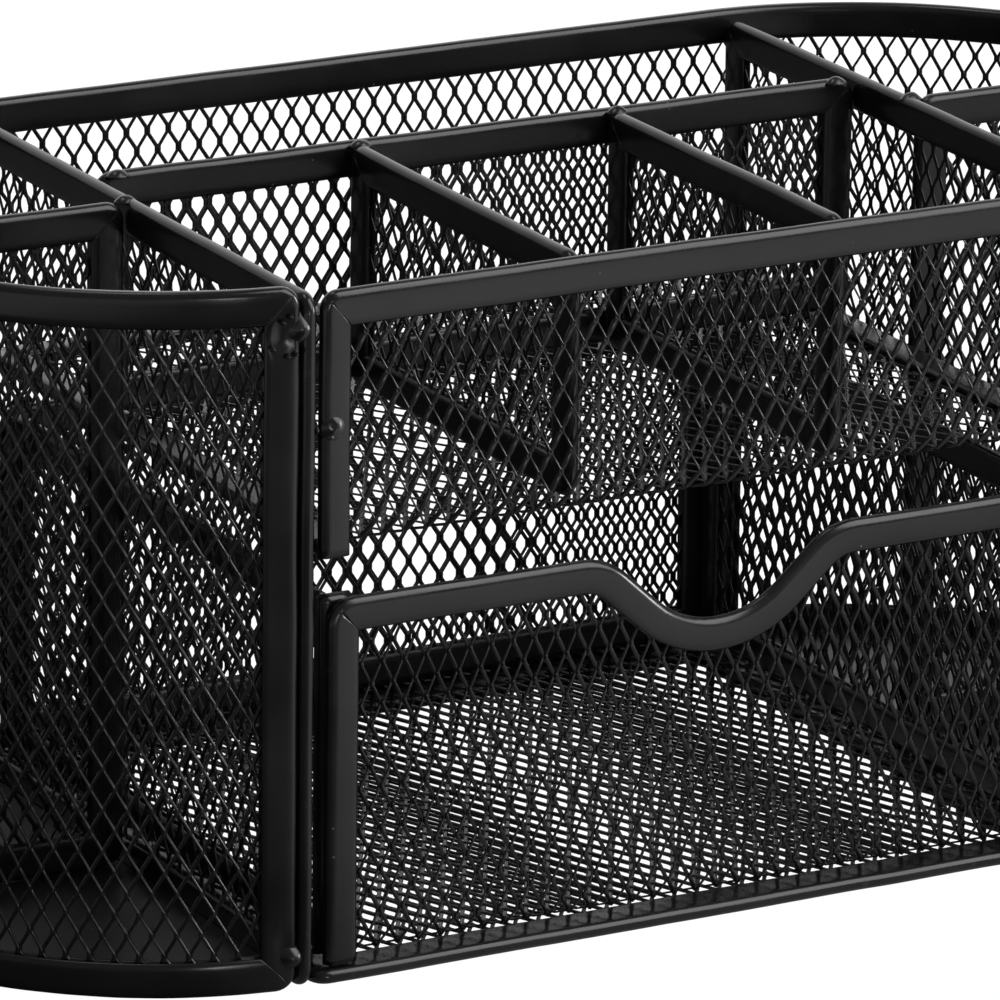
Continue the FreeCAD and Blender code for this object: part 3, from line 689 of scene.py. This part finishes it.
# a drop of weld that runs out smoothly into the face it lies on, the front one or an upward one
def beadPoints(centre, halves, seed, upward):
    across, proud = (1, 2) if upward else (2, 1)
    rings = []
    for share in np.linspace(1, weld["innerRing"], weld["rings"]):
        ring = []
        for j in range(weld["around"]):
            angle = 2 * math.pi * j / weld["around"]
            spot = centre.copy()
            spot[0] += math.cos(angle) * halves[0] * share
            spot[across] += math.sin(angle) * halves[across] * share
            lump = noise.noise(spot / weld["lumpLength"] + Vector((seed, seed, 0))) * weld["lumpHeight"]
            rise = (halves[proud] + lump) * (1 - share * share) ** 2 - weld["root"] * share ** 4
            spot[proud] += rise if upward else -rise
            ring.append(spot)
        rings.append(ring)
    return np.array(rings)


# beads are (centre, half sizes), with a third item for one on an upward face
def makeBeads(name, beads, body, nodes):
    points, faces, caps, used = [], [], [], 0
    for seed, (centre, halves, *upward) in enumerate(beads):
        rings = beadPoints(centre, halves, seed * weld["seedStep"] + len(name), bool(upward))
        count, around = rings.shape[:2]
        points.append(rings.reshape(-1, 3))
        faces.append(ringFaces(count, around, closed=False, first=used))
        caps += endCaps(count * around, around, first=used)
        used += count * around
    points = np.clip(np.concatenate(points), np.array(cadBox[0]), np.array(cadBox[1]))
    makePiece(name, points, np.concatenate(faces), caps, weldCoat, body, nodes, np.ones(len(points)))


beadLow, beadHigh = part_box("weld_beads")
spotLow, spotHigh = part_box("spot_welds")
# down each front seam: a large drop near the top, another near the bottom, and grains of spatter (in mm)
seamBead = {
    "topX": 63.0 * mm, "topHalves": (2.5 * mm, 1.1 * mm, 2.7 * mm), "topDown": 2.1 * mm,
    "lowX": 63.7 * mm, "lowHalves": (2.4 * mm, 1.1 * mm, 2.2 * mm), "lowUp": 2.0 * mm,
    "grains": ((65.0, 94.7), (66.1, 94.0), (65.4, 89.3), (64.2, 89.5), (67.6, 90.6)),
    "grainHalves": (0.45 * mm, 0.32 * mm, 0.36 * mm), "sunk": 0.95 * mm,
}
seamY, topZ, lowZ = frontY + seamBead["sunk"], beadHigh.z - seamBead["topDown"], beadLow.z + seamBead["lowUp"]
frontBeads = []
for sign in (-1, 1):
    frontBeads.append((Vector((sign * seamBead["topX"], seamY, topZ)), seamBead["topHalves"]))
    for x, z in seamBead["grains"]:
        frontBeads.append((Vector((sign * x * mm, frontY, z * mm)), seamBead["grainHalves"]))
    frontBeads.append((Vector((sign * seamBead["lowX"], seamY, lowZ)), seamBead["lowHalves"]))
# low lumps where the dividers' top edges meet, places in mm
topBead = {
    "places": ((-57.6, 13.2), (-20.0, 12.6), (21.2, 12.6), (57.6, 13.2), (-62.6, 0.8), (62.6, 0.8)),
    "halves": (1.8 * mm, 1.4 * mm, 0.55 * mm),
}
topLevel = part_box("long_divider_frame")[1].z
for x, y in topBead["places"]:
    frontBeads.append((Vector((x * mm, y * mm, topLevel - strip["margin"])), topBead["halves"], "upward"))
makeBeads("seam_weld_beads", frontBeads, "organizer", ["weld_beads"])
# each spot weld of the tray front: a button, a small drop under it and a fillet into the partition
spotBead = {
    "x": 58.4 * mm, "halves": (2.1 * mm, 0.46 * mm, 2.3 * mm),
    "dropX": 58.9 * mm, "dropDown": 1.1 * mm, "dropHalves": (0.8 * mm, 0.42 * mm, 0.6 * mm),
    "filletX": 60.9 * mm, "filletHalves": (0.7 * mm, 1.0 * mm, 1.2 * mm),
}
spotZ = (spotLow.z + spotHigh.z) / 2
spots = []
for sign in (-1, 1):
    spots.append((Vector((sign * spotBead["x"], frontY + strip["margin"], spotZ)), spotBead["halves"]))
    spots.append((Vector((sign * spotBead["dropX"], frontY, spotZ - spotBead["dropDown"])), spotBead["dropHalves"]))
    spots.append((Vector((sign * spotBead["filletX"], seamY, spotZ)), spotBead["filletHalves"]))
makeBeads("tray_spot_welds", spots, "organizer", ["spot_welds"])
print("welds made")


studio = {
    "floorSize": 6.0, "floorDrop": 0.02 * mm, "floorColour": (0.06, 0.06, 0.06, 1), "floorRough": 0.9,
    "floorSpecular": 0.1, "floorSeen": 1.0,
    # the floor's light, a painted glow: bright to the right of the left end, weaker towards the object as painted
    # shade, and weaker far to the right
    "floorDark": 0.03, "floorBright": 1.0, "brightSide": (0.919, 0.394, 0.0), "brightFrom": -0.092,
    "brightTo": -0.062, "shadeSide": (0, 1, 0), "shadeFrom": -0.28, "shadeTo": -0.06, "shadeLeast": 0.30,
    "fadeSide": (1, 0, 0), "fadeFrom": 0.06, "fadeTo": 0.24, "fadeLeast": 0.65,
    # a dim glow behind the object, and a stronger one far to its left
    "backFrom": -0.02, "backTo": 0.06, "backBright": 0.07,
    "leftSide": (-1, 0, 0), "leftFrom": 0.22, "leftTo": 0.36, "leftBright": 0.45,
    "airSeen": 1.0, "airDark": 0.16, "airBright": 1.3, "airSide": (0.45, 0.84, 0.0), "airFrom": 0.35,
    "airTo": 0.80,
}


# a glow that rises or falls along one direction, as by a lit backdrop; on the floor it is a painted glow
def sidedGlow(tree, side, low, high, dark, bright, blend="SMOOTHSTEP"):
    place = addNode(tree, "ShaderNodeTexCoord")
    source = place.outputs["Generated" if tree.nodes.get("World Output") else "Object"]
    reach = addNode(tree, "ShaderNodeVectorMath", {0: source, 1: side}, operation="DOT_PRODUCT").outputs["Value"]
    lit = addNode(tree, "ShaderNodeMapRange", {"Value": reach, "From Min": low, "From Max": high, "To Min": dark,
                                               "To Max": bright}, interpolation_type=blend)
    return lit.outputs["Result"]


# the camera itself sees plain white
def plainToCamera(tree, glow, seen):
    ray = addNode(tree, "ShaderNodeLightPath").outputs["Is Camera Ray"]
    return addNode(tree, "ShaderNodeMix", {0: ray, 2: glow, 3: seen}).outputs[0]


# a dark grey floor that looks plain white to the camera; to every other ray it is a painted glow that lights the
# object, with painted shade near the object
def makeFloor():
    mesh = bpy.data.meshes.new("studioFloor")
    reach = studio["floorSize"] / 2
    mesh.from_pydata([(-reach, -reach, 0), (reach, -reach, 0), (reach, reach, 0), (-reach, reach, 0)], [],
                     [(0, 1, 2, 3)])
    floor = bpy.data.objects.new("studioFloor", mesh)
    floor.location.z = cadBox[0].z - studio["floorDrop"]
    bpy.context.scene.collection.objects.link(floor)
    material = bpy.data.materials.new("studioPaperPaintedGlow")
    material.use_nodes = True
    tree = material.node_tree
    shader = tree.nodes["Principled BSDF"]
    shader.inputs["Base Color"].default_value = studio["floorColour"]
    shader.inputs["Roughness"].default_value = studio["floorRough"]
    shader.inputs["Specular IOR Level"].default_value = studio["floorSpecular"]
    shader.inputs["Emission Color"].default_value = (1, 1, 1, 1)
    bright = sidedGlow(tree, studio["brightSide"], studio["brightFrom"], studio["brightTo"],
                       studio["floorDark"], studio["floorBright"])
    # painted shade: the floor's glow falls off towards the object
    shade = sidedGlow(tree, studio["shadeSide"], studio["shadeFrom"], studio["shadeTo"], 1.0,
                      studio["shadeLeast"], "LINEAR")
    fade = sidedGlow(tree, studio["fadeSide"], studio["fadeFrom"], studio["fadeTo"], 1.0,
                     studio["fadeLeast"], "LINEAR")
    front = mathNode(tree, "MULTIPLY", mathNode(tree, "MULTIPLY", bright, shade), fade)
    back = sidedGlow(tree, studio["shadeSide"], studio["backFrom"], studio["backTo"], 0.0, studio["backBright"])
    left = sidedGlow(tree, studio["leftSide"], studio["leftFrom"], studio["leftTo"], 0.0, studio["leftBright"])
    inFront = sidedGlow(tree, studio["shadeSide"], studio["backFrom"], studio["backTo"], 1.0, 0.0)
    glow = mathNode(tree, "ADD", mathNode(tree, "MULTIPLY", mathNode(tree, "ADD", front, left), inFront), back)
    tree.links.new(plainToCamera(tree, glow, studio["floorSeen"]), shader.inputs["Emission Strength"])
    mesh.materials.append(material)


def makeWorld():
    world = bpy.data.worlds.new("studioAir")
    world.use_nodes = True
    background = world.node_tree.nodes["Background"]
    background.inputs["Color"].default_value = (1, 1, 1, 1)
    tree = world.node_tree
    glow = sidedGlow(tree, studio["airSide"], studio["airFrom"], studio["airTo"], studio["airDark"],
                     studio["airBright"])
    tree.links.new(plainToCamera(tree, glow, studio["airSeen"]), background.inputs["Strength"])
    bpy.context.scene.world = world


# soft boxes: place, what they aim at, width and height, and power
softBoxes = {
    "frontRightBox": {"at": (0.55, -0.62, 0.75), "aim": (0, 0, 0.05), "size": (0.7, 1.0), "watts": 8.0},
    "topBox": {"at": (-0.15, 0.10, 1.20), "aim": (0, 0, 0.05), "size": (0.35, 0.35), "watts": 1.2},
    "lowRightBox": {"at": (1.25, -0.66, 0.12), "aim": (0, 0, 0.07), "size": (0.30, 0.50), "watts": 10.0},
    "lowFrontBox": {"at": (-0.20, -1.30, 0.06), "aim": (0, 0, 0.07), "size": (0.24, 0.12), "watts": 1.0},
    "leftBox": {"at": (-1.10, 0.35, 0.50), "aim": (0, 0, 0.05), "size": (0.25, 0.8), "watts": 0.5},
}


def makeLights():
    for name, box in softBoxes.items():
        light = bpy.data.lights.new(name, "AREA")
        light.shape = "RECTANGLE"
        light.size, light.size_y = box["size"]
        light.energy = box["watts"]
        lamp = bpy.data.objects.new(name, light)
        lamp.location = box["at"]
        lamp.rotation_euler = (Vector(box["aim"]) - Vector(box["at"])).to_track_quat("-Z", "Y").to_euler()
        bpy.context.scene.collection.objects.link(lamp)


view = {
    "azimuth": math.radians(-29.108), "elevation": math.radians(17.284), "roll": math.radians(0.813),
    "place": (-0.6072, -1.0835, 0.4323), "lens": 332.0, "sensor": 36.0, "clip": (0.01, 20),
}


def makeCamera():
    azimuth, elevation, roll = view["azimuth"], view["elevation"], view["roll"]
    back = Vector((math.sin(azimuth) * math.cos(elevation), -math.cos(azimuth) * math.cos(elevation),
                   math.sin(elevation)))
    right = (-back).cross(Vector((0, 0, 1))).normalized()
    up = right.cross(-back)
    rolledRight = math.cos(roll) * right + math.sin(roll) * up
    rolledUp = -math.sin(roll) * right + math.cos(roll) * up
    data = bpy.data.cameras.new("studioCamera")
    data.sensor_width = view["sensor"]
    data.lens = view["lens"]
    data.clip_start, data.clip_end = view["clip"]
    camera = bpy.data.objects.new("studioCamera", data)
    turned = Matrix((rolledRight, rolledUp, back)).transposed().to_4x4()
    camera.matrix_world = Matrix.Translation(view["place"]) @ turned
    bpy.context.scene.collection.objects.link(camera)
    bpy.context.scene.camera = camera


makeFloor()
makeWorld()
makeLights()
makeCamera()
bpy.context.scene.view_settings.view_transform = "Standard"
print("studio made")
